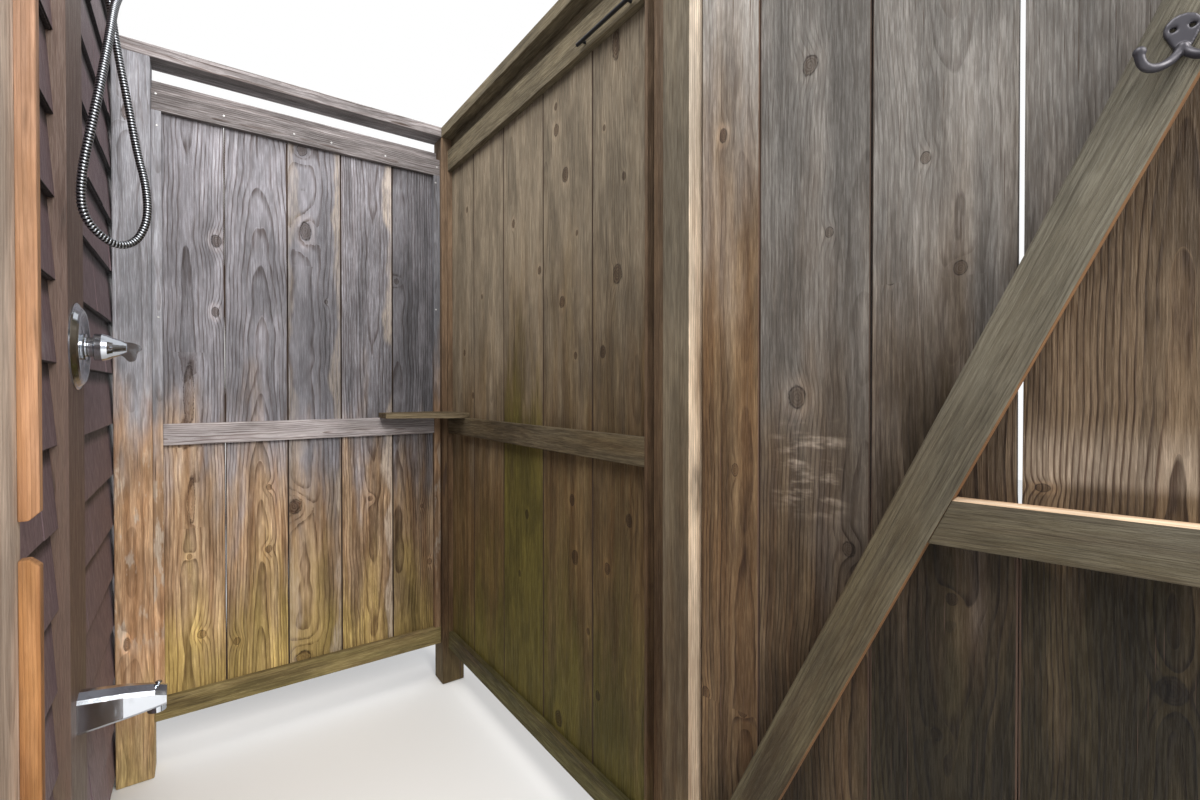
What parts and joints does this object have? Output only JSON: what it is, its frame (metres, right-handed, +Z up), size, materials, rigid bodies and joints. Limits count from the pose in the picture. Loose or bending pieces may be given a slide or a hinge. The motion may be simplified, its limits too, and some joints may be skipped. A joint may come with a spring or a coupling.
{
  "type": "outdoor shower",
  "caption": "Open-topped outdoor shower stall of cedar board panels against a shingled house wall, with gate, corner shelf, valve, spout and hose.",
  "frame": {"origin": "centre of the underside of the section of house wall, at ground level", "axes": "+X out from the house wall into the stall, +Y along the wall from the gate towards the back panel, +Z up"},
  "size_m": [1.367, 2.5493, 2.44],
  "materials": {
    "stained_wall": "plain sheathing, matt",
    "shingle_stain": "dark semi-solid stain, matt",
    "post_cedar": "weathered, matt",
    "stop_cedar": "newer orange cedar, matt",
    "board_cedar": "weathered, rough",
    "frame_cedar": "weathered, rough",
    "gate_iron": "black, satin",
    "dark_bronze": "dark bronze, satin",
    "chrome": "polished"
  },
  "bodies": {
    "stall": {"house_wall": "stained_wall", "wall_shingles_near": "shingle_stain", "wall_shingles_far": "shingle_stain", "plumbing_board": "shingle_stain", "latch_post": "post_cedar", "back_left_post": "post_cedar", "corner_post": "post_cedar", "gate_post": "post_cedar", "gate_jamb": "post_cedar", "gate_facing": "post_cedar", "gate_stop_strips": "stop_cedar", "back_boards": "board_cedar", "right_boards": "board_cedar", "back_bottom_rail": "frame_cedar", "back_mid_rail": "frame_cedar", "back_top_rail": "frame_cedar", "back_side_strips": "frame_cedar", "back_outer_rails": "frame_cedar", "back_cap_rail": "frame_cedar", "right_bottom_rail": "frame_cedar", "right_mid_rail": "frame_cedar", "right_top_rail": "frame_cedar", "right_side_strips": "frame_cedar", "right_outer_rails": "frame_cedar", "right_cap_rail": "frame_cedar", "corner_shelf": "frame_cedar", "hinge_leaves": "gate_iron", "hanging_bar": "gate_iron", "valve_escutcheon": "chrome", "valve_sleeve": "chrome", "tub_spout": "chrome", "supply_elbow": "chrome", "hose_nuts": "chrome", "hand_shower": "chrome", "shower_hose": "chrome"},
    "gate": {"gate_boards": "board_cedar", "gate_bottom_rail": "frame_cedar", "gate_mid_rail": "frame_cedar", "gate_top_rail": "frame_cedar", "gate_brace": "frame_cedar", "hinge_straps": "gate_iron", "gate_bolt": "gate_iron", "robe_hook": "dark_bronze"},
    "valve_lever": {"valve_handle": "chrome"},
    "diverter": {"diverter_knob": "chrome"}
  },
  "joints": [
    {"name": "gate_hinge", "type": "hinge", "parent": "stall", "child": "gate", "pos_m": [1.1075, -0.74, 1.1], "axis": [0, 0, 1], "range_deg": [-102, 68]},
    {"name": "valve_turn", "type": "hinge", "parent": "stall", "child": "valve_lever", "pos_m": [0.1334, -0.008, 1.274], "axis": [1, 0, 0], "range_deg": [0, 210]},
    {"name": "diverter_lift", "type": "slide", "parent": "stall", "child": "diverter", "axis": [0, 0, 1], "range_m": [0, 0.008]}
  ]
}
